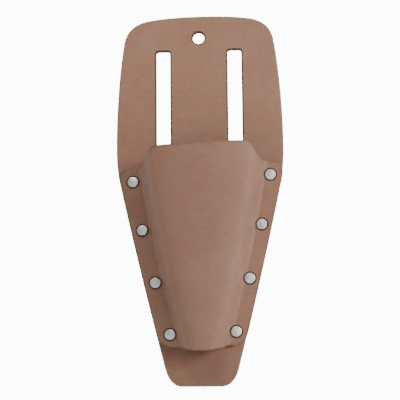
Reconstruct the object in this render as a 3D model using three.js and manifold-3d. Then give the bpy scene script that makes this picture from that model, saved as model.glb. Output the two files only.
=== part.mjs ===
// Leather pliers holster for a work belt, in millimetres, +Z up, front towards -Y.
// The origin is on the back face of the belt strip, midway between the slots' ends.

import * as THREE from 'three';
import { mergeVertices } from 'three/addons/utils/BufferGeometryUtils.js';
import Module from 'manifold-3d';

// Leather
const PANEL_THICKNESS = 3.2;
const POUCH_THICKNESS = 2.8;
const PANEL_TOP = 63.7;
const PANEL_BOTTOM = -190.3;

// Openings cut in the back panel
const SLOT_LENGTH = 78;
const SLOT_WIDTH = 9.5;
const SLOT_OFFSET = 24.7;
const SLOT_CORNER = 1.6;
const HANG_HOLE_RADIUS = 4;
const HANG_HOLE_HEIGHT = 48.2;

// Pouch: its lower edge, its lip, and the flange's edges
const TUNNEL_BOTTOM = -166;
const TUNNEL_TOP = -40;
const LIP_HEIGHT = -30.8;
const NECK_DROP = 10.4;
const NECK_INNER = 29;
const NECK_OUTER = 41;
const FLANGE_BOTTOM = -164.2;
const FLANGE_FALL = 1.6;
const FLANGE_TOP_CORNER = 6.5;
const FLANGE_BOTTOM_CORNER = 7.6;
const TOP_CORNER_START = 0.4;
const BOTTOM_CORNER_START = 0.2;
const HEM_STEP_START = 0.45;
const HEM_SAG = 0.9;

// Pouch: the moulded tunnel, each pair at its lower end and at its mouth. The foot is where a
// flank meets the flange, and the shoulder is where it meets the crown.
const FOOT = [14.8, 42.7];
const FOOT_BELLY = 7;
const DEPTH = [15.8, 27.8];
const SHOULDER_RUN = [3, 4.6];
const SHOULDER_DROP = [4.2, 6.6];
const SHOULDER_ROUNDING = [4.2, 7.5];
const FOOT_FILLET = 2.5;

// The pouch was riveted a little to the right, with its right side a little high
const TUNNEL_SHIFT = 1.8;
const RIVET_SHIFT = 1.2;
const FLANGE_SHIFT = 0.4;
const POUCH_SKEW = 0.035;

// Rivets: half the spacing and the height of each pair
const RIVET_PAIRS = [[46.7, -51], [40.4, -84.4], [31.7, -120.2], [22.1, -155]];
const RIVET_SIDES = 16;
const CAP_RADIUS = 3.8;
const CAP_HEIGHT = 1.6;
const CAP_WALL = 0.4;
const CAP_LIP = 0.35;
const SEAT_DEPTH = 0.4;
const SHANK_RADIUS = 1.5;
const SHANK_BORE = 1;
const FLARE_RADIUS = 2.15;
const FLARE_HEIGHT = 0.3;
const FLARE_WALL = 0.5;
const FLARE_BAND = 0.1;
const HEAD_THICKNESS = 0.8;
const HEAD_BEVEL = 0.3;
const CLEARANCE = 0.3;

// A cap's dome from its rim to near its middle: parts of its radius and of its height
const CAP_DOME = [[1, 0.3], [0.95, 0.58], [0.82, 0.8], [0.5, 0.96]];

// How far a cutter runs out past the leather's faces, and past the moulding round a cap's seat
const OVERCUT = 1;
const SEAT_CUT = 6;

const FLANGE_FACE = -PANEL_THICKNESS - POUCH_THICKNESS;

// Steps along half a section: crown, shoulder, flank, fillet and flange, and steps up a rib
const SECTION_STEPS = [5, 6, 2, 4, 8];
const FLANGE_STEPS = SECTION_STEPS.at(-1);
const RIB_STEPS = 16;

const wasm = await Module();
wasm.setup();

// A closed geometry as a solid that can be cut
function toSolid(geometry) {
  geometry.deleteAttribute('normal');
  geometry.deleteAttribute('uv');
  const merged = mergeVertices(geometry, 1e-4);
  return new wasm.Manifold(new wasm.Mesh({
    numProp: 3,
    vertProperties: new Float32Array(merged.attributes.position.array),
    triVerts: new Uint32Array(merged.index.array),
  }));
}

function toGeometry(solid) {
  const mesh = solid.getMesh();
  const geometry = new THREE.BufferGeometry();
  geometry.setAttribute('position', new THREE.BufferAttribute(mesh.vertProperties, 3));
  geometry.setIndex(new THREE.BufferAttribute(mesh.triVerts, 1));
  geometry.computeVertexNormals();
  return geometry;
}

// A round cutter along Y, between two depths
function drill(radius, fromY, toY, x, z) {
  const cutter = new THREE.CylinderGeometry(radius, radius, toY - fromY, RIVET_SIDES);
  cutter.translate(x, (fromY + toY) / 2, z);
  return toSolid(cutter);
}

// The right-hand edge of the panel, from the middle of its lower edge to the middle of its top
function panelEdge() {
  const edge = new THREE.Path();
  edge.moveTo(0, PANEL_BOTTOM);
  edge.lineTo(12.5, PANEL_BOTTOM);
  edge.bezierCurveTo(19.5, PANEL_BOTTOM, 23, -185, 25, -177);
  edge.quadraticCurveTo(41.3, -115, 55, -53);
  edge.bezierCurveTo(56.6, -45.8, 57.3, -38, 57.3, -28);
  edge.bezierCurveTo(57.3, 0, 55, 28, 52, 45.5);
  edge.bezierCurveTo(50.6, 53.5, 46, 59.2, 36, 61.3);
  edge.bezierCurveTo(27, 63.1, 13, PANEL_TOP, 0, PANEL_TOP);
  return edge.getPoints(9);
}

const EDGE = panelEdge();

function panelHalfWidth(z) {
  const next = Math.max(EDGE.findIndex((point) => point.y > z), 1);
  const [low, high] = [EDGE[next - 1], EDGE[next]];
  return THREE.MathUtils.mapLinear(z, low.y, high.y, low.x, high.x);
}

function slotPath(centreX) {
  const [left, right] = [centreX - SLOT_WIDTH / 2, centreX + SLOT_WIDTH / 2];
  const [bottom, top] = [-SLOT_LENGTH / 2, SLOT_LENGTH / 2];
  const path = new THREE.Path();
  path.moveTo(left + SLOT_CORNER, bottom);
  path.lineTo(right - SLOT_CORNER, bottom);
  path.quadraticCurveTo(right, bottom, right, bottom + SLOT_CORNER);
  path.lineTo(right, top - SLOT_CORNER);
  path.quadraticCurveTo(right, top, right - SLOT_CORNER, top);
  path.lineTo(left + SLOT_CORNER, top);
  path.quadraticCurveTo(left, top, left, top - SLOT_CORNER);
  path.lineTo(left, bottom + SLOT_CORNER);
  path.quadraticCurveTo(left, bottom, left + SLOT_CORNER, bottom);
  return path;
}

// Each rivet's name and place, row by row
const RIVETS = RIVET_PAIRS.flatMap(([spacing, height], row) => (
  [['left', -1], ['right', 1]].map(([hand, side]) => {
    const x = RIVET_SHIFT + side * spacing;
    return { label: `${hand}_${row + 1}`, x, z: height + POUCH_SKEW * x };
  })
));

function backPanel() {
  const mirrored = EDGE.slice(1, -1).reverse().map((point) => new THREE.Vector2(-point.x, point.y));
  const shape = new THREE.Shape([...EDGE, ...mirrored]);
  const hangHole = new THREE.Path();
  hangHole.absarc(0, HANG_HOLE_HEIGHT, HANG_HOLE_RADIUS, 0, 2 * Math.PI, true);
  shape.holes.push(slotPath(-SLOT_OFFSET), slotPath(SLOT_OFFSET), hangHole);
  const blank = new THREE.ExtrudeGeometry(shape, {
    depth: PANEL_THICKNESS,
    bevelEnabled: false,
    curveSegments: 5,
  });
  blank.rotateX(Math.PI / 2);
  let panel = toSolid(blank);
  for (const { x, z } of RIVETS) {
    panel = panel.subtract(drill(SHANK_RADIUS + CLEARANCE, -PANEL_THICKNESS - OVERCUT, OVERCUT, x, z));
    panel = panel.subtract(drill(CAP_RADIUS + CLEARANCE, -HEAD_THICKNESS, OVERCUT, x, z));
  }
  return toGeometry(panel);
}

// Half of the pouch's outer outline across the tunnel at height z, from the crown's middle
// outwards: [distance from the middle, height above the panel], with the direction away from
// the leather's inner face
function halfSection(z, side) {
  const rise = (z - TUNNEL_BOTTOM) / (TUNNEL_TOP - TUNNEL_BOTTOM);
  const along = ([bottom, top]) => THREE.MathUtils.lerp(bottom, top, rise);
  const foot = along(FOOT) + FOOT_BELLY * rise * (1 - rise);
  const depth = along(DEPTH);
  const edge = panelHalfWidth(z) + side * (FLANGE_SHIFT - TUNNEL_SHIFT);
  const shoulder = new THREE.Vector2(foot - along(SHOULDER_RUN), depth - along(SHOULDER_DROP));
  const corner = new THREE.Vector2(foot, POUCH_THICKNESS);
  const crownPull = new THREE.Vector2(shoulder.x / 2, depth);
  const roundness = along(SHOULDER_ROUNDING);
  const towards = (from, to, length) => to.clone().sub(from).setLength(length).add(from);
  const crownEnd = towards(shoulder, crownPull, roundness);
  const flankTop = towards(shoulder, corner, roundness);
  const flankEnd = towards(corner, shoulder, FOOT_FILLET);
  const flangeStart = new THREE.Vector2(foot + FOOT_FILLET, POUCH_THICKNESS);
  const stretches = [
    new THREE.QuadraticBezierCurve(new THREE.Vector2(0, depth), crownPull, crownEnd),
    new THREE.QuadraticBezierCurve(crownEnd, shoulder, flankTop),
    new THREE.LineCurve(flankTop, flankEnd),
    new THREE.QuadraticBezierCurve(flankEnd, corner, flangeStart),
    new THREE.LineCurve(flangeStart, new THREE.Vector2(edge, POUCH_THICKNESS)),
  ];
  return stretches.flatMap((curve, index) => {
    const steps = SECTION_STEPS[index];
    const samples = Array.from({ length: steps + 1 }, (_, step) => {
      const tangent = curve.getTangent(step / steps);
      return { point: curve.getPoint(step / steps), away: new THREE.Vector2(-tangent.y, tangent.x) };
    });
    return index === 0 ? samples : samples.slice(1);
  });
}

const HALF_COUNT = halfSection(TUNNEL_BOTTOM, 1).length;

// Where the leather ends at its mouth and at its lower edge, on one rib of the section
function ribEnds(index) {
  const { point } = halfSection(TUNNEL_TOP, 1)[index];
  const onFlange = Math.max(index - (HALF_COUNT - 1 - FLANGE_STEPS), 0) / FLANGE_STEPS;
  const round = (start) => {
    const across = Math.max(onFlange - start, 0) / (1 - start);
    return 1 - Math.sqrt(1 - across * across);
  };
  const neck = THREE.MathUtils.smoothstep(point.x, NECK_INNER, NECK_OUTER);
  const topCorner = FLANGE_TOP_CORNER * round(TOP_CORNER_START);
  const mouth = LIP_HEIGHT - NECK_DROP * neck - FLANGE_FALL * onFlange - topCorner;
  const acrossTunnel = index / (HALF_COUNT - FLANGE_STEPS);
  const inTunnel = 1 - THREE.MathUtils.smoothstep(acrossTunnel, HEM_STEP_START, 1);
  const hem = THREE.MathUtils.lerp(FLANGE_BOTTOM, TUNNEL_BOTTOM, inTunnel);
  const sag = HEM_SAG * Math.max(1 - (2 * acrossTunnel) ** 2, 0);
  return { mouth, hem: hem - sag + FLANGE_BOTTOM_CORNER * round(BOTTOM_CORNER_START) };
}

// One rib of the leather, from hem to mouth, on its outer face and on its inner face
function rib(index, side) {
  const { mouth, hem } = ribEnds(index);
  const outer = [];
  const inner = [];
  for (let step = 0; step <= RIB_STEPS; step += 1) {
    const level = THREE.MathUtils.lerp(hem, mouth, step / RIB_STEPS);
    const x = TUNNEL_SHIFT + side * halfSection(level, side)[index].point.x;
    const z = level + POUCH_SKEW * x;
    const { point, away } = halfSection(z, side)[index];
    const place = (lift) => new THREE.Vector3(
      TUNNEL_SHIFT + side * (point.x + lift * away.x),
      -PANEL_THICKNESS - point.y - lift * away.y,
      z,
    );
    outer.push(place(0));
    inner.push(place(-POUCH_THICKNESS));
  }
  return { outer, inner };
}

// A closed shell from ribs that run from left to right: two faces joined by a rim
function shell(ribs) {
  const rows = ribs[0].outer.length;
  const points = ribs.flatMap(({ outer, inner }) => [...outer, ...inner]);
  const onOuter = (column, row) => column * 2 * rows + row;
  const onInner = (column, row) => onOuter(column, row) + rows;
  const triangles = [];
  const quad = (a, b, c, d) => triangles.push(a, b, c, a, c, d);
  const rim = (from, to) => quad(onOuter(...from), onInner(...from), onInner(...to), onOuter(...to));
  const [lastColumn, lastRow] = [ribs.length - 1, rows - 1];
  for (let column = 0; column < lastColumn; column += 1) {
    for (let row = 0; row < lastRow; row += 1) {
      const [left, right, above] = [[column, row], [column + 1, row], row + 1];
      quad(onOuter(...left), onOuter(...right), onOuter(column + 1, above), onOuter(column, above));
      quad(onInner(...left), onInner(column, above), onInner(column + 1, above), onInner(...right));
    }
    rim([column, 0], [column + 1, 0]);
    rim([column + 1, lastRow], [column, lastRow]);
  }
  for (let row = 0; row < lastRow; row += 1) {
    rim([lastColumn, row], [lastColumn, row + 1]);
    rim([0, row + 1], [0, row]);
  }
  const geometry = new THREE.BufferGeometry().setFromPoints(points);
  geometry.setIndex(triangles);
  return geometry;
}

function frontPouch() {
  const ribs = [];
  for (let index = HALF_COUNT - 1; index > 0; index -= 1) {
    ribs.push(rib(index, -1));
  }
  for (let index = 0; index < HALF_COUNT; index += 1) {
    ribs.push(rib(index, 1));
  }
  let pouch = toSolid(shell(ribs));
  for (const { x, z } of RIVETS) {
    pouch = pouch.subtract(drill(SHANK_RADIUS + CLEARANCE, FLANGE_FACE - OVERCUT, 0, x, z));
    const seat = [FLANGE_FACE - SEAT_CUT, FLANGE_FACE + SEAT_DEPTH];
    pouch = pouch.subtract(drill(CAP_RADIUS + CLEARANCE, ...seat, x, z));
  }
  return toGeometry(pouch);
}

// A turned piece about Y, from the [radius, y] points of half its section, taken clockwise
function lathe(outline) {
  const points = outline.toReversed().map(([radius, y]) => new THREE.Vector2(radius, y));
  return new THREE.LatheGeometry(points, RIVET_SIDES);
}

// The cap: a shallow dome, hollow behind, with a lip that the spread shank holds
function rivetCap() {
  const seat = FLANGE_FACE + SEAT_DEPTH;
  const cavity = FLARE_RADIUS + CLEARANCE;
  const crown = seat - CAP_HEIGHT;
  return lathe([
    [0, crown + CAP_WALL],
    [cavity, crown + CAP_WALL],
    [cavity, seat - CAP_LIP],
    [SHANK_RADIUS + CLEARANCE, seat - CAP_LIP],
    [SHANK_RADIUS + CLEARANCE, seat],
    [CAP_RADIUS, seat],
    ...CAP_DOME.map(([out, up]) => [out * CAP_RADIUS, seat - up * CAP_HEIGHT]),
    [0, crown],
  ]);
}

// The post: a flat head that lies flush in the panel's back, and a tube spread at its end
function rivetPost() {
  const tip = FLANGE_FACE + SEAT_DEPTH - CAP_HEIGHT + CAP_WALL + CLEARANCE;
  const boreEnd = -2 * HEAD_THICKNESS;
  return lathe([
    [0, 0],
    [CAP_RADIUS - HEAD_BEVEL, 0],
    [CAP_RADIUS, -HEAD_BEVEL],
    [CAP_RADIUS, -HEAD_THICKNESS],
    [SHANK_RADIUS, -HEAD_THICKNESS],
    [SHANK_RADIUS, tip + FLARE_HEIGHT],
    [FLARE_RADIUS, tip + FLARE_BAND],
    [FLARE_RADIUS, tip],
    [FLARE_RADIUS - FLARE_WALL, tip],
    [SHANK_BORE, tip + FLARE_HEIGHT],
    [SHANK_BORE, boreEnd],
    [0, boreEnd],
  ]);
}

function leather(colour) {
  return new THREE.MeshStandardMaterial({ color: colour, roughness: 0.72, metalness: 0 });
}

function nickel() {
  return new THREE.MeshStandardMaterial({ color: 0xc4c0b8, roughness: 0.32, metalness: 1 });
}

const holster = new THREE.Group();

function add(name, geometry, material, x = 0, z = 0) {
  const mesh = new THREE.Mesh(geometry, material);
  mesh.name = name;
  mesh.position.set(x, 0, z);
  holster.add(mesh);
}

add('back_panel', backPanel(), leather(0xa07c69));
add('front_pouch', frontPouch(), leather(0x987563));
for (const { label, x, z } of RIVETS) {
  add(`rivet_cap_${label}`, rivetCap(), nickel(), x, z);
  add(`rivet_post_${label}`, rivetPost(), nickel(), x, z);
}

export default holster;
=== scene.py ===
"""Leather pliers holster for a work belt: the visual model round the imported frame, in metres.

The back panel and the pouch are single hides with a grain side, a flesh side and a rounded
cut edge. Eight nickel rivets, each a cap and a post, hold them together.
"""

import cmath
import math
import random

import bmesh
import bpy
from mathutils import Matrix, Vector, noise
from mathutils.bvhtree import BVHTree


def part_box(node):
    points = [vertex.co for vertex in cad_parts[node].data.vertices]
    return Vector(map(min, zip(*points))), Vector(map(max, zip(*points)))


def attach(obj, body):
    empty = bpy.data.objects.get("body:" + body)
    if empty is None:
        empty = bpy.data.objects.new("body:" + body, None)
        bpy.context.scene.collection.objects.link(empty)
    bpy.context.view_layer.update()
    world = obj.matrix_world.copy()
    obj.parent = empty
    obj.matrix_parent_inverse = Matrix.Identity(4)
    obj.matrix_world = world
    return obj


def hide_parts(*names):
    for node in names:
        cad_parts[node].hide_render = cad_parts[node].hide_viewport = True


MM = 0.001
SNAP = 0.001 * MM
FRONT = Vector((0, -1, 0))

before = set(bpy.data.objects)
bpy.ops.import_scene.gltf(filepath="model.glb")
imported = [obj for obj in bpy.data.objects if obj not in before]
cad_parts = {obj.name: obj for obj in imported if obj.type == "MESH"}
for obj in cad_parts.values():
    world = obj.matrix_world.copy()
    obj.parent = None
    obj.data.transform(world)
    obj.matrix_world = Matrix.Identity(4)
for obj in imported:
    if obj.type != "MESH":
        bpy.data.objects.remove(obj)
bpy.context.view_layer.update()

# Places that the frame gives
panel_low, panel_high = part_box("back_panel")
cap_low, cap_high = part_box("rivet_cap_left_1")
head_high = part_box("rivet_post_left_1")[1]
PANEL_THICKNESS = panel_high.y - panel_low.y
CAP_RADIUS = (cap_high.x - cap_low.x) / 2
CAP_HEIGHT = cap_high.y - cap_low.y
SEAT = cap_high.y

# Hides
POUCH_THICKNESS = 2.8 * MM
HIDE_PITCH = 1.3 * MM
EDGE_ROUNDING = 0.8 * MM
FLESH_ROUNDING = 0.4 * MM
EDGE_CROWN = 0.05 * MM
ROUNDING_STEPS = 4
DYE_FADE = (0.1 * MM, 0.9 * MM)
WELD = 0.005 * MM
FLANGE_FACE = panel_low.y - POUCH_THICKNESS

# How far the panel bends out of flat, and over what distance
UNDULATION = (0.22 * MM, 46 * MM)
UNDULATION_SEED = 3

# Openings in the panel
SLOT_SIZE = (9.5 * MM, 78 * MM)
SLOT_OFFSET = 24.7 * MM
SLOT_CORNER = 1.6 * MM
HANG_HOLE_RADIUS = 4 * MM
HANG_HOLE_HEIGHT = 48.2 * MM
OPENING_MARGIN = 0.12 * MM
# How far the painted shade in an opening reaches onto the grain
SHADE_BAND = 0.5 * MM

# The panel's right-hand edge, as the stretches of its Bezier outline, from the tab to the top
TAB = panel_low.z
TOP = panel_high.z
PANEL_EDGE = [
    [(0, TAB), (12.5 * MM, TAB)],
    [(12.5 * MM, TAB), (19.5 * MM, TAB), (23 * MM, -185 * MM), (25 * MM, -177 * MM)],
    [(25 * MM, -177 * MM), (41.3 * MM, -115 * MM), (55 * MM, -53 * MM)],
    [(55 * MM, -53 * MM), (56.6 * MM, -45.8 * MM), (57.3 * MM, -38 * MM), (57.3 * MM, -28 * MM)],
    [(57.3 * MM, -28 * MM), (57.3 * MM, 0), (55 * MM, 28 * MM), (52 * MM, 45.5 * MM)],
    [(52 * MM, 45.5 * MM), (50.6 * MM, 53.5 * MM), (46 * MM, 59.2 * MM), (36 * MM, 61.3 * MM)],
    [(36 * MM, 61.3 * MM), (27 * MM, 63.1 * MM), (13 * MM, TOP), (0, TOP)],
]
EDGE_STEPS = 12
TRIM_WELD = 0.12 * MM

# The pouch's edges
TUNNEL_BOTTOM = -166 * MM
TUNNEL_TOP = -40 * MM
LIP_HEIGHT = -30.8 * MM
NECK_DROP = 10.4 * MM
NECK = (29 * MM, 41 * MM)
FLANGE_BOTTOM = -164.2 * MM
FLANGE_FALL = 1.6 * MM
FLANGE_TOP_CORNER = 6.5 * MM
FLANGE_BOTTOM_CORNER = 7.6 * MM
TOP_CORNER_START = 0.4
BOTTOM_CORNER_START = 0.2
HEM_STEP_START = 0.45
HEM_SAG = 0.9 * MM

# The moulded tunnel, each pair at its lower end and at its mouth
FOOT = (14.8 * MM, 42.7 * MM)
FOOT_BELLY = 7 * MM
DEPTH = (15.8 * MM, 27.8 * MM)
SHOULDER_RUN = (3 * MM, 4.6 * MM)
SHOULDER_DROP = (4.2 * MM, 6.6 * MM)
SHOULDER_ROUNDING = (4.2 * MM, 7.5 * MM)
FOOT_FILLET = 2.5 * MM
LEAST_FLANGE = 1 * MM
TUNNEL_SHIFT = 1.8 * MM
FLANGE_SHIFT = 0.4 * MM
POUCH_SKEW = 0.035

# The pouch's mesh: steps over the half crown, shoulder, flank, foot and flange, and up a rib
SECTION_STEPS = (20, 9, 9, 6, 18)
RIB_COUNT = sum(SECTION_STEPS)
FLANGE_STEPS = SECTION_STEPS[-1]
RIB_STEPS = 96

# Rivets
RIVET_NAMES = [f"{hand}_{row}" for row in (1, 2, 3, 4) for hand in ("left", "right")]
SHANK_HOLE = 1.8 * MM
CAP_WALL = 0.4 * MM
CAP_FLAT = 3.0 * MM
CAP_RIM = CAP_RADIUS - 0.3 * MM
CAP_BASE = 0.35 * MM
CAP_CAVITY = 2.45 * MM
RIM_FOOT = 0.93 * CAP_RIM
RIM_BEVEL = 0.12 * MM
CROWN_FALL = 0.16 * MM
CROWN_RINGS = (0, 0.2, 0.4, 0.6, 0.75, 0.88, 1)
SHOULDER_FALL = 0.55 * CAP_HEIGHT
SHOULDER_RINGS = 7
HEAD_THICKNESS = 0.8 * MM
SHANK_RADIUS = 1.5 * MM
SHANK_BORE = 1 * MM
FLARE_RADIUS = 2.15 * MM
FLARE_HEIGHT = 0.3 * MM
FLARE_BAND = 0.1 * MM
FLARE_WALL = 0.5 * MM
CAP_TURNS = 56
POST_TURNS = 48
SPIN_WELD = 0.002 * MM

# The head's outer face, as (radius, depth) points: a shallow dimple, a flat and a worn rim
HEAD_FACE = [
    (0, 0.12 * MM), (0.35 * CAP_RADIUS, 0.1 * MM), (0.62 * CAP_RADIUS, 0.02 * MM),
    (0.7 * CAP_RADIUS, 0), (CAP_RADIUS - 0.3 * MM, 0), (CAP_RADIUS - 0.1 * MM, 0.06 * MM),
    (CAP_RADIUS, 0.24 * MM),
]

# What the setting hammer leaves on a cap: strikes on its crown and flats on its rim
STRIKES = 5
STRIKE_TILT = (5, 17)
STRIKE_DEPTH = (0.03 * MM, 0.16 * MM)
STRIKE_REACH = 0.9 * CAP_HEIGHT
STRIKE_PRESS = 0.9
FLATS = 5
FLAT_REACH = (0.86, 0.94)
LEAN = 3.5

# Seats: the recess for a head in the flesh side, and the dent under a cap in the grain side
SEAT_BAND = 0.25 * MM
HEAD_REACH = CAP_RADIUS + 0.25 * MM
HEAD_RINGS = [CAP_RADIUS + 0.15 * MM, CAP_RADIUS + 0.05 * MM, CAP_RADIUS - 0.8 * MM,
              SHANK_HOLE + EDGE_ROUNDING]
HEAD_RECESS = (CAP_RADIUS + 0.04 * MM, CAP_RADIUS + 0.18 * MM)
HEAD_DISH = (CAP_RADIUS, CAP_RADIUS + 1.1 * MM)
HEAD_DISH_DEPTH = 0.12 * MM
HEAD_CLEARANCE = 0.03 * MM
HEAD_NEAR = CAP_RADIUS + 1.2 * MM
FLESH_SIDE = head_high.y - 0.01 * MM
SEAT_WALL = (4.1 * MM, 4.4 * MM)
SEAT_RINGS = [4.32 * MM, 4.22 * MM, 4.1 * MM, 3.6 * MM, SHANK_HOLE + EDGE_ROUNDING]
SEAT_INSET = 0.97
SEAT_CLEARANCE = 0.05 * MM
SEAT_HOLLOW = (4.4 * MM, 8.5 * MM)
SEAT_HOLLOW_DEPTH = 0.18 * MM
SEAT_NEAR = 9 * MM
GRAIN_SIDE = FLANGE_FACE + 0.2 * MM

# The floor, the light that comes from all round, and the camera's view
FLOOR_DROP = 0.11
FLOOR_RADIUS = 1.4
AMBIENT = 0.1
BACKDROP = 12.0
AIM = Vector((-0.31 * MM, 0, -64.97 * MM))
AZIMUTH = math.radians(4.0)
ELEVATION = math.radians(-8.0)
ROLL = math.radians(0.62)
DISTANCE = 0.6943
VIEW_WIDTH = 0.2727
SENSOR = 36

# Softboxes: name, place, size in metres and power in watts
SOFTBOXES = [
    ("key", (1.2, -0.68, 0.3), 0.5, 20.0),
    ("top", (0.0, -0.46, 0.66), 0.36, 3.4),
    ("edge", (-0.92, -0.1, 0.0), 0.25, 2.2),
    ("front", (-0.08, -1.1, 0.12), 0.45, 0.8),
    ("back", (0.0, 1.3, 0.15), 0.5, 9.0),
]


def lerp(pair, t):
    """The value at t between the two of a pair."""
    return pair[0] + (pair[1] - pair[0]) * t


def smoothstep(value, start, end):
    """A smooth rise from 0 at start to 1 at end."""
    t = min(max((value - start) / (end - start), 0), 1)
    return t * t * (3 - 2 * t)


def bezier(points, t):
    """The point at t on the Bezier curve with these control points."""
    points = [Vector(point) for point in points]
    while len(points) > 1:
        points = [a.lerp(b, t) for a, b in zip(points, points[1:])]
    return points[0]


def outline():
    """The panel's right-hand edge as (x, z) points, from the middle of the tab to the top."""
    points = [bezier(PANEL_EDGE[0], 0)]
    for stretch in PANEL_EDGE:
        points += [bezier(stretch, step / EDGE_STEPS) for step in range(1, EDGE_STEPS + 1)]
    return points


OUTLINE = outline()


def panel_half_width(z):
    """How far the panel's edge is from its middle at this level."""
    index = next(i for i in range(1, len(OUTLINE)) if OUTLINE[i].y > z)
    low, high = OUTLINE[index - 1], OUTLINE[index]
    return low.x + (high.x - low.x) * (z - low.y) / (high.y - low.y)


def rivet_centre(label):
    """The middle of this rivet's cap."""
    low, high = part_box(f"rivet_cap_{label}")
    return (low + high) / 2


def from_axis(vert, middle):
    """How far a vert is from the front-to-back line through a rivet's middle."""
    return math.hypot(vert.co.x - middle.x, vert.co.z - middle.z)


# ---------------------------------------------------------------- hides


def new_hide():
    """An empty bmesh with the layers that a hide's shape, finish and painted shade need."""
    bm = bmesh.new()
    for name in ("ground", "away", "out"):
        bm.verts.layers.float_vector.new(name)
    for name in ("cut", "rim", "flesh", "opening_shade"):
        bm.verts.layers.float.new(name)
    return bm


def verts_of(result):
    return [item for item in result if isinstance(item, bmesh.types.BMVert)]


def edges_of(result):
    return [item for item in result if isinstance(item, bmesh.types.BMEdge)]


def faces_of(result):
    return [item for item in result if isinstance(item, bmesh.types.BMFace)]


def ends_of(edges):
    """The verts of these edges, each once, in the edges' order."""
    return list(dict.fromkeys(vert for edge in edges for vert in edge.verts))


def next_row(bm, edges):
    """Extrudes a row of faces from a chain of edges. Returns its new verts and outer edges."""
    result = bmesh.ops.extrude_edge_only(bm, edges=edges)["geom"]
    verts = verts_of(result)
    new = set(verts)
    return verts, [edge for edge in edges_of(result) if new.issuperset(edge.verts)]


def from_opening(x, z, half, corner):
    """How far a point is outside a rounded opening of this half size, in its own plane."""
    across, up = abs(x) - half[0] + corner, abs(z) - half[1] + corner
    return math.hypot(max(across, 0), max(up, 0)) + min(max(across, up), 0) - corner


def step_in(place, centre, half, corner):
    """Moves a place near a rounded opening's outline onto it, straight across the outline."""
    core = Vector((min(max(place.x - centre.x, corner - half[0]), half[0] - corner), 0,
                   min(max(place.z - centre.z, corner - half[1]), half[1] - corner)))
    arm = Vector((place.x - centre.x, 0, place.z - centre.z)) - core
    return Vector((centre.x, place.y, centre.z)) + core + arm.normalized() * corner


def in_order(edges):
    """The verts of a closed chain of edges, in order round it."""
    chain, edge = set(edges), edges[0]
    verts = [edge.verts[0]]
    while edge.other_vert(verts[-1]) != verts[0]:
        verts.append(edge.other_vert(verts[-1]))
        edge = next(link for link in verts[-1].link_edges if link in chain and link != edge)
    return verts


def space_out(edges, centre):
    """Spreads the verts of a closed chain evenly round a centre, with as little turn as it can."""
    verts = in_order(edges)
    arms = [complex(vert.co.x - centre.x, vert.co.z - centre.z) for vert in verts]
    area = sum((a.conjugate() * b).imag for a, b in zip(arms, arms[1:] + arms[:1]))
    step = cmath.rect(1, math.copysign(2 * math.pi / len(verts), area))
    start = sum(arm / abs(arm) / step ** index for index, arm in enumerate(arms))
    for index, vert in enumerate(verts):
        arm = start / abs(start) * step ** index * abs(arms[index])
        vert.co = Vector((centre.x + arm.real, vert.co.y, centre.z + arm.imag))


def open_up(bm, centre, half, corner, surface=None, band=SHADE_BAND):
    """Cuts an opening in a hide: clears the faces round it, then brings the edge that is left in
    to the opening's outline, by way of a narrow band that carries painted shade onto the grain.
    Returns the outline's edges.
    Where a surface is given, the new verts are evenly spread and lie on it."""
    grown = [size + band for size in half]

    def near(vert):
        x, z = vert.co.x - centre.x, vert.co.z - centre.z
        return from_opening(x, z, grown, corner + band) < OPENING_MARGIN

    def settle(verts, size, radius):
        for vert in verts:
            vert.co = step_in(vert.co, centre, size, radius)
            if surface:
                vert.co = surface.ray_cast(vert.co + FRONT, -FRONT)[0] or vert.co

    cleared = [face for face in bm.faces if any(near(vert) for vert in face.verts)]
    gone = set(cleared)
    ring = [edge for edge in dict.fromkeys(edge for face in cleared for edge in face.edges)
            if not gone.issuperset(edge.link_faces)]
    bmesh.ops.delete(bm, geom=cleared, context="FACES")
    verts, ring = next_row(bm, ring)
    if surface:
        space_out(ring, centre)
    settle(verts, grown, corner + band)
    split = bmesh.ops.subdivide_edges(bm, edges=ring, cuts=1)["geom"]
    ring = [edge for edge in edges_of(split) if edge.is_boundary]
    settle(ends_of(ring), grown, corner + band)
    verts, ring = next_row(bm, ring)
    settle(verts, half, corner)
    # The outline takes the cut wall's dark colour: painted shade round the opening
    cut, opening_shade = (bm.verts.layers.float[name] for name in ("cut", "opening_shade"))
    for vert in verts:
        vert[cut] = vert[opening_shade] = 1
    return ring


def shrink(bm, edges, centre, radii):
    """Rows of faces from a ring towards its centre, one for each radius."""
    for radius in radii:
        verts, edges = next_row(bm, edges)
        for vert in verts:
            arm = Vector((vert.co.x - centre.x, 0, vert.co.z - centre.z))
            vert.co = Vector((centre.x, vert.co.y, centre.z)) + arm.normalized() * radius


def edge_profile(thickness):
    """The cut edge from the grain side to the flesh side, each point as how far out it is, how
    far down and how burnished; the last also weights the rim's painted highlight and painted shade."""
    points = []
    for step in range(1, ROUNDING_STEPS + 1):
        turn = 0.5 * math.pi * step / ROUNDING_STEPS
        points.append((EDGE_ROUNDING * math.sin(turn), EDGE_ROUNDING * (1 - math.cos(turn)), 1))
    middle = 0.5 * (EDGE_ROUNDING + thickness - FLESH_ROUNDING)
    points.append((EDGE_ROUNDING + EDGE_CROWN, middle, 0.2))
    for step in range(ROUNDING_STEPS):
        turn = 0.5 * math.pi * step / (ROUNDING_STEPS - 1)
        out = EDGE_ROUNDING - FLESH_ROUNDING * (1 - math.cos(turn))
        points.append((out, thickness - FLESH_ROUNDING * (1 - math.sin(turn)), 0.3))
    points.append((0, thickness, 0))
    return points


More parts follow.
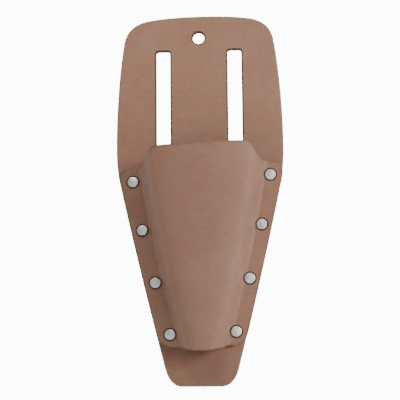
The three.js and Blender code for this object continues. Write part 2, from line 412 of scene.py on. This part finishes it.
def thicken(bm, thickness):
    """Gives a grain side its flesh side and the rounded cut edge between the two."""
    ground, away, out = (bm.verts.layers.float_vector[name] for name in ("ground", "away", "out"))
    cut, rim, flesh, opening_shade = (
        bm.verts.layers.float[name] for name in ("cut", "rim", "flesh", "opening_shade"))
    bm.normal_update()
    bmesh.ops.reverse_faces(bm, faces=[face for face in bm.faces if face.normal.y > 0])
    bm.normal_update()
    for vert in bm.verts:
        vert[ground] = vert.co
        vert[away] = vert.normal
    border = [edge for edge in bm.edges if edge.is_boundary]
    for edge in border:
        face = edge.link_faces[0]
        start, end = (vert.co for vert in edge.verts)
        side = (end - start).cross(face.normal)
        if side.dot((start + end) / 2 - face.calc_center_median()) < 0:
            side.negate()
        for vert in edge.verts:
            vert[out] = vert[out] + side
    for vert in ends_of(border):
        vert[out] = vert[out].normalized()
        vert[rim] = 0.5
    under = bmesh.ops.duplicate(bm, geom=bm.verts[:] + bm.edges[:] + bm.faces[:])["geom"]
    for vert in verts_of(under):
        vert.co -= thickness * vert[away]
        vert[flesh] = 1
        vert[rim] = 0
    bmesh.ops.reverse_faces(bm, faces=faces_of(under))
    edges = border
    for outwards, downwards, burnish in edge_profile(thickness):
        verts, edges = next_row(bm, edges)
        for vert in verts:
            vert.co = vert[ground] + outwards * vert[out] - downwards * vert[away]
            # In the openings the whole wall and its rounding are dark: painted shade
            vert[cut] = max(smoothstep(downwards, *DYE_FADE), vert[opening_shade])
            vert[rim] = burnish * (1 - vert[opening_shade])
    seam = verts + [vert for vert in verts_of(under) if vert.is_boundary]
    bmesh.ops.remove_doubles(bm, verts=seam, dist=WELD)
    bmesh.ops.recalc_face_normals(bm, faces=bm.faces[:])


def undulate(bm, amount, size, seed):
    """Bends a hide very slightly, as leather that has never been pressed flat."""
    for vert in bm.verts:
        place = Vector((vert.co.x, 0, vert.co.z)) / size + Vector((seed, seed, seed))
        vert.co.y += amount * noise.noise(place)


def finish_piece(name, bm, material, nodes):
    """Makes a piece's object from its bmesh, hangs it on the root body and hides the frame's parts
    that it stands for.
    """
    mesh = bpy.data.meshes.new(name)
    for face in bm.faces:
        face.smooth = True
    bm.to_mesh(mesh)
    bm.free()
    mesh.materials.append(material)
    piece = bpy.data.objects.new(name, mesh)
    bpy.context.collection.objects.link(piece)
    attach(piece, "root")
    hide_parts(*nodes)
    return piece


# ---------------------------------------------------------------- back panel


def trim_to_outline(bm):
    """Trims the sheet along the panel's convex outline, less the rounding of its edge."""
    for low, high in zip(OUTLINE, OUTLINE[1:]):
        along = (high - low).normalized()
        for side in (-1, 1):
            normal = Vector((side * along.y, 0, -along.x))
            place = Vector((side * low.x, 0, low.y)) - EDGE_ROUNDING * normal
            near = [face for face in bm.faces
                    if any((vert.co - place).dot(normal) > -HIDE_PITCH for vert in face.verts)]
            parts = dict.fromkeys(item for face in near for item in (*face.verts, *face.edges))
            geometry = [*parts, *near]
            bmesh.ops.bisect_plane(
                bm, geom=geometry, dist=SNAP, plane_co=place, plane_no=normal,
                clear_outer=True)


def back_panel(material):
    """A flat hide, trimmed to the outline, with its hole, slots and rivet seats."""
    bm = new_hide()
    width, height = panel_high.x - panel_low.x, panel_high.z - panel_low.z
    centre = Vector((0, panel_low.y, (panel_low.z + panel_high.z) / 2))
    place = Matrix.Translation(centre) @ Matrix.Rotation(math.pi / 2, 4, "X")
    size = Matrix.Diagonal((width / 2, height / 2, 1, 1))
    bmesh.ops.create_grid(
        bm, x_segments=int(width / HIDE_PITCH), y_segments=int(height / HIDE_PITCH),
        size=1, matrix=place @ size)
    trim_to_outline(bm)
    bmesh.ops.remove_doubles(bm, verts=bm.verts[:], dist=TRIM_WELD)
    slot_half = [size / 2 + EDGE_ROUNDING for size in SLOT_SIZE]
    for side in (-1, 1):
        middle = Vector((side * SLOT_OFFSET, panel_low.y, 0))
        open_up(bm, middle, slot_half, SLOT_CORNER + EDGE_ROUNDING)
    hang = Vector((0, panel_low.y, HANG_HOLE_HEIGHT))
    radius = HANG_HOLE_RADIUS + EDGE_ROUNDING
    open_up(bm, hang, (radius, radius), radius)
    for label in RIVET_NAMES:
        middle = rivet_centre(label)
        middle.y = panel_low.y
        ring = open_up(bm, middle, (HEAD_REACH, HEAD_REACH), HEAD_REACH, band=SEAT_BAND)
        shrink(bm, ring, middle, HEAD_RINGS)
    thicken(bm, PANEL_THICKNESS)
    sink_post_heads(bm)
    undulate(bm, *UNDULATION, UNDULATION_SEED)
    return finish_piece("back_panel_hide", bm, material, ["back_panel"])


def sink_post_heads(bm):
    """Presses the flesh side in under each rivet's flat head."""
    for label in RIVET_NAMES:
        middle = rivet_centre(label)
        for vert in bm.verts:
            distance = from_axis(vert, middle)
            if vert.co.y > FLESH_SIDE and distance < HEAD_NEAR:
                inside = 1 - smoothstep(distance, *HEAD_RECESS)
                dish = HEAD_DISH_DEPTH * (1 - smoothstep(distance, *HEAD_DISH))
                vert.co.y = -(inside * (HEAD_THICKNESS + HEAD_CLEARANCE) + dish)


# ---------------------------------------------------------------- front pouch


def half_section(z, side):
    """Control points, in (x, height) from the tunnel's middle, of the stretches across it."""
    rise = (z - TUNNEL_BOTTOM) / (TUNNEL_TOP - TUNNEL_BOTTOM)
    foot = lerp(FOOT, rise) + FOOT_BELLY * rise * (1 - rise)
    depth = lerp(DEPTH, rise)
    edge = panel_half_width(z) + side * (FLANGE_SHIFT - TUNNEL_SHIFT) - EDGE_ROUNDING
    shoulder = Vector((foot - lerp(SHOULDER_RUN, rise), depth - lerp(SHOULDER_DROP, rise)))
    corner = Vector((foot, POUCH_THICKNESS))
    crown = Vector((0, depth))
    crown_pull = Vector((shoulder.x / 2, depth))
    rounding = lerp(SHOULDER_ROUNDING, rise)
    crown_end = shoulder + (crown_pull - shoulder).normalized() * rounding
    flank_top = shoulder + (corner - shoulder).normalized() * rounding
    flank_end = corner + (shoulder - corner).normalized() * FOOT_FILLET
    flange = Vector((foot + FOOT_FILLET, POUCH_THICKNESS))
    border = Vector((max(edge, flange.x + LEAST_FLANGE), POUCH_THICKNESS))
    return [(crown, crown_pull, crown_end), (crown_end, shoulder, flank_top),
            (flank_top, flank_end), (flank_end, corner, flange), (flange, border)]


def on_section(z, side, index):
    """The point of the half section that a rib runs through, counted from the crown's middle."""
    stretches = half_section(z, side)
    for stretch, steps in zip(stretches, SECTION_STEPS):
        if index <= steps:
            return bezier(stretch, index / steps)
        index -= steps
    return stretches[-1][-1]


def corner_round(across, start):
    """A quarter circle's fall, from 0 at start to 1 at the flange's border."""
    turn = max(across - start, 0) / (1 - start)
    return 1 - math.sqrt(max(1 - turn * turn, 0))


def rib_ends(index):
    """The levels of the leather's hem and mouth on one rib."""
    x = on_section(TUNNEL_TOP, 1, index).x
    on_flange = max(index - (RIB_COUNT - FLANGE_STEPS), 0) / FLANGE_STEPS
    mouth = LIP_HEIGHT - NECK_DROP * smoothstep(x, *NECK) - FLANGE_FALL * on_flange
    mouth -= FLANGE_TOP_CORNER * corner_round(on_flange, TOP_CORNER_START)
    across_tunnel = index / (RIB_COUNT - FLANGE_STEPS)
    in_tunnel = 1 - smoothstep(across_tunnel, HEM_STEP_START, 1)
    hem = lerp((FLANGE_BOTTOM, TUNNEL_BOTTOM), in_tunnel)
    hem -= HEM_SAG * max(1 - (2 * across_tunnel) ** 2, 0)
    hem += FLANGE_BOTTOM_CORNER * corner_round(on_flange, BOTTOM_CORNER_START)
    return hem + EDGE_ROUNDING, mouth - EDGE_ROUNDING


def moulded(side, index, up, ends):
    """Where the grain side's point on this rib lies, up being 0 at the hem and 1 at the mouth."""
    level = lerp(ends, up)
    x = TUNNEL_SHIFT + side * on_section(level, side, index).x
    z = level + POUCH_SKEW * x
    point = on_section(z, side, index)
    return Vector((TUNNEL_SHIFT + side * point.x, panel_low.y - point.y, z))


def front_pouch(material):
    """A moulded hide: a grid of ribs and levels laid on the moulding law, then its seats."""
    bm = new_hide()
    bmesh.ops.create_grid(bm, x_segments=2 * RIB_COUNT, y_segments=RIB_STEPS, size=1)
    ends = [rib_ends(index) for index in range(RIB_COUNT + 1)]
    for vert in bm.verts:
        across = round(vert.co.x * RIB_COUNT)
        index = abs(across)
        vert.co = moulded(-1 if across < 0 else 1, index, (vert.co.y + 1) / 2, ends[index])
    surface = BVHTree.FromBMesh(bm)
    reach = SEAT_WALL[1]
    for label in RIVET_NAMES:
        middle = rivet_centre(label)
        ring = open_up(bm, middle, (reach, reach), reach, surface, SEAT_BAND)
        shrink(bm, ring, middle, SEAT_RINGS)
    flatten_seats(bm)
    thicken(bm, POUCH_THICKNESS)
    press_seats(bm)
    return finish_piece("front_pouch_hide", bm, material, ["front_pouch"])


def flatten_seats(bm):
    """Brings the leather that a rivet clamps down to the flange's plane."""
    for label in RIVET_NAMES:
        middle = rivet_centre(label)
        for vert in bm.verts:
            clamped = 1 - smoothstep(from_axis(vert, middle), *SEAT_WALL)
            vert.co.y += (FLANGE_FACE - vert.co.y) * clamped


def press_seats(bm):
    """Sinks each rivet's cap into the grain side, with a soft hollow round it."""
    flesh = bm.verts.layers.float["flesh"]
    depth = SEAT - FLANGE_FACE + SEAT_CLEARANCE
    pressed = [SEAT_INSET * radius for radius in SEAT_WALL]
    for label in RIVET_NAMES:
        middle = rivet_centre(label)
        for vert in bm.verts:
            distance = from_axis(vert, middle)
            if vert[flesh] < 0.5 and distance < SEAT_NEAR and vert.co.y < GRAIN_SIDE:
                wall = 1 - smoothstep(distance, *pressed)
                hollow = 1 - smoothstep(distance, *SEAT_HOLLOW)
                vert.co.y += depth * wall + SEAT_HOLLOW_DEPTH * hollow * (1 - wall)


# ---------------------------------------------------------------- rivets


def turned(bm, outline_points, steps):
    """Spins a half section, given as (radius, y) points, about the Y axis."""
    verts = [bm.verts.new((radius, y, 0)) for radius, y in outline_points]
    edges = [bm.edges.new(pair) for pair in zip(verts, verts[1:])]
    bmesh.ops.spin(
        bm, geom=verts + edges, cent=(0, 0, 0), axis=(0, 1, 0), angle=2 * math.pi,
        steps=steps, use_merge=True)
    bmesh.ops.remove_doubles(bm, verts=bm.verts[:], dist=SPIN_WELD)
    bmesh.ops.recalc_face_normals(bm, faces=bm.faces[:])


def hammered(bm, crown, randomness):
    """Flattens a dome where a setting hammer has struck it."""
    for _ in range(STRIKES):
        heading = randomness.uniform(0, 2 * math.pi)
        tilt = math.radians(randomness.uniform(*STRIKE_TILT))
        normal = Vector((math.sin(tilt) * math.cos(heading), -math.cos(tilt),
                         math.sin(tilt) * math.sin(heading)))
        strike = Vector((0, crown + randomness.uniform(*STRIKE_DEPTH), 0))
        for vert in bm.verts:
            over = (vert.co - strike).dot(normal)
            if over > 0 and vert.co.y < crown + STRIKE_REACH:
                vert.co -= STRIKE_PRESS * over * normal
    for _ in range(FLATS):
        heading = randomness.uniform(0, 2 * math.pi)
        normal = Vector((math.cos(heading), 0, math.sin(heading)))
        reach = CAP_RADIUS * randomness.uniform(*FLAT_REACH)
        for vert in bm.verts:
            over = vert.co.dot(normal) - reach
            if over > 0:
                vert.co -= over * normal


def rivet_cap(label, material, randomness):
    """A cap with a broad, nearly flat top, a steep rim and a hollow for the spread shank."""
    bm = bmesh.new()
    crown = -CAP_HEIGHT
    top = [(CAP_FLAT * part, crown + CROWN_FALL * part ** 2) for part in CROWN_RINGS]
    shoulder = []
    for step in range(1, SHOULDER_RINGS + 1):
        turn = 0.5 * math.pi * step / SHOULDER_RINGS
        radius = CAP_FLAT + (CAP_RIM - CAP_FLAT) * math.sin(turn)
        shoulder.append((radius, crown + CROWN_FALL + SHOULDER_FALL * (1 - math.cos(turn))))
    hollow = [(0, crown + CAP_WALL), (CAP_CAVITY, crown + CAP_WALL), (CAP_CAVITY, -CAP_BASE),
              (SHANK_HOLE, -CAP_BASE), (SHANK_HOLE, 0)]
    bevel = [(RIM_FOOT, 0), (CAP_RIM, -RIM_BEVEL)]
    turned(bm, hollow + bevel + shoulder[::-1] + top[::-1], CAP_TURNS)
    hammered(bm, crown, randomness)
    middle = rivet_centre(label)
    lean = Matrix.Rotation(math.radians(randomness.uniform(-LEAN, LEAN)), 4, "X")
    lean @= Matrix.Rotation(math.radians(randomness.uniform(-LEAN, LEAN)), 4, "Z")
    bmesh.ops.transform(
        bm, verts=bm.verts[:], matrix=Matrix.Translation((middle.x, SEAT, middle.z)) @ lean)
    name = f"rivet_cap_{label}"
    return finish_piece(f"{name}_set", bm, material, [name])


def rivet_post(label, material):
    """A flat head, flush in the panel's flesh side, and a tubular shank flared inside the cap."""
    bm = bmesh.new()
    low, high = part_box(f"rivet_post_{label}")
    middle = (low + high) / 2
    tip = low.y
    head = [(radius, -depth) for radius, depth in HEAD_FACE]
    shank = [(CAP_RADIUS, -HEAD_THICKNESS), (SHANK_RADIUS, -HEAD_THICKNESS),
             (SHANK_RADIUS, tip + FLARE_HEIGHT), (FLARE_RADIUS, tip + FLARE_BAND)]
    bore = [(FLARE_RADIUS, tip), (FLARE_RADIUS - FLARE_WALL, tip), (SHANK_BORE, tip + FLARE_HEIGHT),
            (SHANK_BORE, -2 * HEAD_THICKNESS), (0, -2 * HEAD_THICKNESS)]
    turned(bm, head + shank + bore, POST_TURNS)
    bmesh.ops.transform(bm, verts=bm.verts[:], matrix=Matrix.Translation((middle.x, 0, middle.z)))
    name = f"rivet_post_{label}"
    return finish_piece(f"{name}_set", bm, material, [name])


# ---------------------------------------------------------------- materials


class Nodes:
    """A short way to add nodes to a tree and link their sockets."""

    def __init__(self, tree):
        self.tree = tree

    def add(self, kind, links=(), **settings):
        node = self.tree.nodes.new(kind)
        for name, value in settings.items():
            setattr(node, name, value)
        for socket, value in dict(links).items():
            self.feed(node.inputs[socket], value)
        return node

    def feed(self, socket, value):
        """Links a node's output to a socket, or sets the socket to a plain value."""
        if isinstance(value, bpy.types.NodeSocket):
            self.tree.links.new(value, socket)
        else:
            socket.default_value = value

    def math(self, operation, *values):
        return self.add("ShaderNodeMath", enumerate(values), operation=operation).outputs[0]

    def mix(self, factor, first, second):
        node = self.add("ShaderNodeMix", data_type="RGBA")
        self.feed(node.inputs["Factor"], factor)
        self.feed(node.inputs["A"], first)
        self.feed(node.inputs["B"], second)
        return node.outputs["Result"]

    def vector(self, operation, *values):
        links = enumerate(values)
        return self.add("ShaderNodeVectorMath", links, operation=operation).outputs[0]

    def spread(self, value, low, high, to_low=0.0, to_high=1.0):
        """Maps the stretch from low to high onto another, and clamps what is outside it."""
        return self.add("ShaderNodeMapRange", {
            "Value": value, "From Min": low, "From Max": high, "To Min": to_low, "To Max": to_high,
        }).outputs["Result"]

    def noise(self, place, scale, detail=2.0, roughness=0.5):
        return self.add("ShaderNodeTexNoise", {
            "Vector": place, "Scale": scale, "Detail": detail, "Roughness": roughness,
        }).outputs["Fac"]

    def stretched(self, place, scale):
        """A place scaled by axis, so that a pattern on it runs along the axis scaled least."""
        return self.add("ShaderNodeMapping", {"Vector": place, "Scale": scale}).outputs["Vector"]

    def attribute(self, name):
        return self.add("ShaderNodeAttribute", attribute_name=name).outputs["Fac"]


def new_group(name, inputs, outputs):
    """An empty shader node group with these sockets, given as (name, type) pairs."""
    tree = bpy.data.node_groups.new(name, "ShaderNodeTree")
    for label, kind in inputs:
        tree.interface.new_socket(label, in_out="INPUT", socket_type=f"NodeSocket{kind}")
    for label, kind in outputs:
        tree.interface.new_socket(label, in_out="OUTPUT", socket_type=f"NodeSocket{kind}")
    nodes = Nodes(tree)
    return tree, nodes, nodes.add("NodeGroupInput").outputs, nodes.add("NodeGroupOutput").inputs


# Colours of the hides' flaws, of the painted shade in the grain's pores and on the lower panel and
# tab, and the two that each of the cut walls, the flesh sides and the rivets' nickel varies between
BLUSH = (0.36, 0.135, 0.085, 1)
STREAK = (0.40, 0.25, 0.165, 1)
SPECK = (0.17, 0.095, 0.065, 1)
PORE_SHADE = (0.14, 0.075, 0.05, 1)
PAINTED_SHADE_TONE = (0.05, 0.025, 0.017, 1)
CUT_WALL = ((0.022, 0.012, 0.009, 1), (0.1, 0.055, 0.037, 1))
SUEDE = ((0.20, 0.125, 0.085, 1), (0.42, 0.31, 0.225, 1))
PLATE = ((0.97, 0.97, 0.95, 1), (0.84, 0.84, 0.81, 1))

# How much of each flaw, and of the painted shade in the grain's pores, shows
BLUSH_AMOUNT = 0.5
STREAK_AMOUNT = 0.22
SPECK_AMOUNT = 0.4
PORE_SHADE_AMOUNT = 0.18

# Painted shade, below the slots' middle and in the pouch's shadow on the tab: the levels between
# which it sets in, then how much it darkens from none
LOWER_PANEL_SHADE = (15 * MM, -25 * MM, 0.0, 0.1)
TAB_SHADOW = (-160 * MM, -172 * MM, 0.0, 0.16)

# Patterns' scales, in waves or cells to the metre
WARP_SCALE = 420.0
CREASE_SCALE = 1150.0
PIT_SCALE = 1500.0
FIBRE_SCALE = 900.0
SWELL_SCALE = 160.0
CLOUD_SCALE = 28.0
BLUSH_SCALE = 130.0
STREAK_SCALE = 640.0
SPECK_SCALE = 900.0
RIM_PATCH_SCALE = 240.0
WALL_SCALE = 1300.0
NAP_SCALE = 520.0
WARP_REACH = 0.0012


def grain_group():
    """Leather's grain: its pores and creases as a height, and a mask for painted shade in them."""
    tree, nodes, given, result = new_group(
        "leather_grain", [("Place", "Vector")], [("Height", "Float"), ("Pore Shade", "Float")])
    place = given["Place"]
    warp = nodes.add("ShaderNodeTexNoise", {"Vector": place, "Scale": WARP_SCALE, "Detail": 2.0})
    bend = nodes.vector("MULTIPLY", warp.outputs["Color"], (WARP_REACH,) * 3)
    bent = nodes.vector("ADD", place, bend)
    cells = nodes.add("ShaderNodeTexVoronoi", {"Vector": bent, "Scale": CREASE_SCALE},
                      feature="DISTANCE_TO_EDGE").outputs["Distance"]
    creases = nodes.spread(cells, 0.0, 0.16)
    pits = nodes.spread(nodes.noise(place, PIT_SCALE, 3.0), 0.34, 0.52)
    fibres = nodes.noise(nodes.stretched(place, (0.22, 1.0, 1.0)), FIBRE_SCALE, 3.0, 0.6)
    swell = nodes.noise(place, SWELL_SCALE, 3.0)
    height = nodes.math("MULTIPLY", creases, 0.35)
    for pattern, amount in ((pits, 0.3), (fibres, 0.5), (swell, 0.9)):
        height = nodes.math("ADD", height, nodes.math("MULTIPLY", pattern, amount))
    nodes.feed(result["Height"], height)
    # Painted shade in the creases and pits, as a mask
    nodes.feed(result["Pore Shade"], nodes.math("SUBTRACT", 1.0, nodes.math("MULTIPLY", creases, pits)))
    return tree


def mottle_group():
    """How a vegetable-tanned hide varies: cloudy patches, blushes, fine streaks and specks."""
    tree, nodes, given, result = new_group(
        "hide_mottle", [("Place", "Vector"), ("Seed", "Float")],
        [("Clouds", "Float"), ("Blush", "Float"), ("Streaks", "Float"), ("Specks", "Float")])
    shift = nodes.add("ShaderNodeCombineXYZ", {"X": given["Seed"], "Z": given["Seed"]}).outputs[0]
    place = nodes.vector("ADD", given["Place"], shift)
    clouds = nodes.noise(place, CLOUD_SCALE, 4.0, 0.6)
    blush = nodes.noise(place, BLUSH_SCALE, 3.0, 0.55)
    streaks = nodes.noise(nodes.stretched(place, (0.16, 1.0, 1.0)), STREAK_SCALE, 3.0, 0.6)
    specks = nodes.noise(place, SPECK_SCALE, 2.0, 0.7)
    nodes.feed(result["Clouds"], nodes.spread(clouds, 0.3, 0.7))
    nodes.feed(result["Blush"], nodes.spread(blush, 0.36, 0.66))
    nodes.feed(result["Streaks"], nodes.spread(streaks, 0.3, 0.7))
    nodes.feed(result["Specks"], nodes.spread(specks, 0.62, 0.8))
    return tree


def leather(name, grain, mottle, tan, dark, rim_burnish_and_painted_light, seed, roughness, shade_strength):
    """A hide's material: tan grain side; a rim toned partly by burnish and partly by painted light
    (a painted highlight on the panel's edges, painted shade along the pouch's); a dark cut edge,
    which in the openings is painted shade as well; and a suede flesh side.
    Painted shade darkens it below the slots' middle and on the tab, in the pouch's shadow."""
    material = bpy.data.materials.new(name)
    material.use_nodes = True
    nodes = Nodes(material.node_tree)
    shader = material.node_tree.nodes["Principled BSDF"]
    place = nodes.add("ShaderNodeTexCoord").outputs["Object"]
    marks = nodes.add("ShaderNodeGroup", node_tree=mottle)
    nodes.feed(marks.inputs["Place"], place)
    nodes.feed(marks.inputs["Seed"], seed)
    skin = nodes.add("ShaderNodeGroup", node_tree=grain)
    nodes.feed(skin.inputs["Place"], place)
    cut, rim, flesh = (nodes.attribute(label) for label in ("cut", "rim", "flesh"))

    colour = nodes.mix(marks.outputs["Clouds"], dark, tan)
    # Flaws of the hide, and last the painted shade in the grain's creases and pits
    for tone_mask, amount, tone in (
            (marks.outputs["Blush"], BLUSH_AMOUNT, BLUSH),
            (marks.outputs["Streaks"], STREAK_AMOUNT, STREAK),
            (marks.outputs["Specks"], SPECK_AMOUNT, SPECK),
            (skin.outputs["Pore Shade"], PORE_SHADE_AMOUNT, PORE_SHADE)):
        colour = nodes.mix(nodes.math("MULTIPLY", tone_mask, amount), colour, tone)
    # Painted shade: darker below the slots' middle, and on the tab in the pouch's shadow
    level = nodes.add("ShaderNodeSeparateXYZ", {0: place}).outputs["Z"]
    painted_shade = nodes.math("ADD", nodes.spread(level, *LOWER_PANEL_SHADE), nodes.spread(level, *TAB_SHADOW))
    colour = nodes.mix(nodes.math("MULTIPLY", painted_shade, shade_strength), colour, PAINTED_SHADE_TONE)

    # The rim's tone, in patches: the burnished edge's own colour together with painted light, a
    # greyish painted highlight on the panel and painted shade along the pouch's edge
    rim_patches = nodes.spread(nodes.noise(place, RIM_PATCH_SCALE, 3.0), 0.3, 0.6, 0.35, 0.9)
    colour = nodes.mix(nodes.math("MULTIPLY", rim, rim_patches), colour, rim_burnish_and_painted_light)
    # The cut walls' own dark colour; in the openings it also stands for painted shade
    fibres = nodes.noise(nodes.stretched(place, (1.0, 0.3, 1.0)), WALL_SCALE, 3.0)
    wall = nodes.mix(fibres, *CUT_WALL)
    colour = nodes.mix(nodes.math("MULTIPLY", cut, 0.9), colour, wall)
    nap = nodes.noise(place, NAP_SCALE, 4.0, 0.7)
    colour = nodes.mix(flesh, colour, nodes.mix(nap, *SUEDE))
    nodes.feed(shader.inputs["Base Color"], colour)

    rough = nodes.spread(marks.outputs["Clouds"], 0.0, 1.0, roughness + 0.08, roughness - 0.06)
    rough = nodes.math("SUBTRACT", rough, nodes.math("MULTIPLY", rim, 0.12))
    rough = nodes.math("MAXIMUM", rough, nodes.math("MULTIPLY", flesh, 0.95))
    nodes.feed(shader.inputs["Roughness"], rough)

    height = nodes.mix(flesh, skin.outputs["Height"], nodes.math("MULTIPLY", nap, 4.0))
    ragged = nodes.math("MULTIPLY", fibres, 3.0)
    height = nodes.mix(nodes.math("MULTIPLY", cut, 0.8), height, ragged)
    bump = nodes.add("ShaderNodeBump", {"Strength": 0.5, "Distance": 0.12 * MM, "Height": height})
    nodes.feed(shader.inputs["Normal"], bump.outputs["Normal"])
    shader.inputs["Specular IOR Level"].default_value = 0.35
    shader.inputs["Sheen Weight"].default_value = 0.12
    shader.inputs["Sheen Roughness"].default_value = 0.5
    return material


def nickel():
    """Nickel plate that a hammer has set: soft grey, with fine scratches and dull patches."""
    material = bpy.data.materials.new("nickel_plate")
    material.use_nodes = True
    nodes = Nodes(material.node_tree)
    shader = material.node_tree.nodes["Principled BSDF"]
    place = nodes.add("ShaderNodeTexCoord").outputs["Object"]
    dull = nodes.spread(nodes.noise(place, 420.0, 4.0, 0.6), 0.35, 0.65)
    scratches = nodes.noise(nodes.stretched(place, (0.1, 1.0, 1.0)), 5200.0, 2.0)
    crossed = nodes.noise(nodes.stretched(place, (1.0, 1.0, 0.12)), 4300.0, 2.0)
    nodes.feed(shader.inputs["Base Color"], nodes.mix(dull, *PLATE))
    nodes.feed(shader.inputs["Roughness"], nodes.spread(dull, 0.0, 1.0, 0.34, 0.48))
    dents = nodes.math("MULTIPLY", nodes.noise(place, 700.0, 2.0), 3.0)
    height = nodes.math("ADD", dents, nodes.math("ADD", scratches, crossed))
    bump = nodes.add("ShaderNodeBump", {"Strength": 0.35, "Distance": 0.03 * MM, "Height": height})
    nodes.feed(shader.inputs["Normal"], bump.outputs["Normal"])
    shader.inputs["Metallic"].default_value = 0.65
    return material


def plain(name, colour, roughness):
    """A material of one colour, for what isn't part of the object."""
    material = bpy.data.materials.new(name)
    material.use_nodes = True
    shader = material.node_tree.nodes["Principled BSDF"]
    shader.inputs["Base Color"].default_value = colour
    shader.inputs["Roughness"].default_value = roughness
    return material


# ---------------------------------------------------------------- stage, lights and camera


def floor():
    """A pale round floor, below the hanging holster."""
    bm = bmesh.new()
    below = Matrix.Translation((0, 0, panel_low.z - FLOOR_DROP))
    bmesh.ops.create_circle(bm, cap_ends=True, segments=96, radius=FLOOR_RADIUS, matrix=below)
    mesh = bpy.data.meshes.new("floor")
    bm.to_mesh(mesh)
    bm.free()
    mesh.materials.append(plain("pale_floor", (0.82, 0.82, 0.81, 1), 0.8))
    disc = bpy.data.objects.new("floor", mesh)
    bpy.context.collection.objects.link(disc)


def studio_world():
    """An even white surround, brighter to the eye than the light that it gives."""
    world = bpy.data.worlds.new("studio")
    bpy.context.scene.world = world
    world.use_nodes = True
    nodes = Nodes(world.node_tree)
    surround = world.node_tree.nodes["Background"]
    surround.inputs["Color"].default_value = (1, 1, 1, 1)
    seen = nodes.add("ShaderNodeLightPath").outputs["Is Camera Ray"]
    nodes.feed(surround.inputs["Strength"], nodes.spread(seen, 0, 1, AMBIENT, BACKDROP))


def softbox(name, place, size, power):
    """A square lamp that looks at the holster's middle."""
    lamp = bpy.data.lights.new(name, "AREA")
    lamp.size = size
    lamp.energy = power
    holder = bpy.data.objects.new(name, lamp)
    bpy.context.collection.objects.link(holder)
    holder.location = place
    holder.rotation_euler = (AIM - Vector(place)).to_track_quat("-Z", "Y").to_euler()


def camera():
    """Slightly right of straight ahead and a little below, looking up, with a slight roll."""
    lens = bpy.data.cameras.new("camera")
    lens.sensor_width = SENSOR
    lens.lens = DISTANCE * lens.sensor_width / VIEW_WIDTH
    lens.clip_start = 0.01
    holder = bpy.data.objects.new("camera", lens)
    bpy.context.collection.objects.link(holder)
    level = math.cos(ELEVATION)
    back = Vector((math.sin(AZIMUTH) * level, -math.cos(AZIMUTH) * level, math.sin(ELEVATION)))
    right = Vector((0, 0, 1)).cross(back).normalized()
    upright = Matrix((right, back.cross(right), back)).transposed().to_4x4()
    place = Matrix.Translation(AIM + DISTANCE * back)
    holder.matrix_world = place @ upright @ Matrix.Rotation(-ROLL, 4, "Z")
    bpy.context.scene.camera = holder


camera()
studio_world()
floor()
for box in SOFTBOXES:
    softbox(*box)

grain = grain_group()
mottle = mottle_group()
# The panel's rim tone is a greyish painted highlight on its burnished edge; the pouch's is painted
# shade along its edge
panel_leather = leather(
    "panel_leather", grain, mottle, tan=(0.36, 0.195, 0.12, 1), dark=(0.285, 0.145, 0.088, 1),
    rim_burnish_and_painted_light=(0.24, 0.18, 0.135, 1), seed=0.0, roughness=0.66, shade_strength=1.0)
pouch_leather = leather(
    "pouch_leather", grain, mottle, tan=(0.318, 0.175, 0.116, 1), dark=(0.25, 0.13, 0.086, 1),
    rim_burnish_and_painted_light=(0.15, 0.075, 0.05, 1), seed=0.37, roughness=0.52, shade_strength=0.0)
plate = nickel()

back_panel(panel_leather)
front_pouch(pouch_leather)
randomness = random.Random(8)
for label in RIVET_NAMES:
    rivet_cap(label, plate, randomness)
    rivet_post(label, plate)
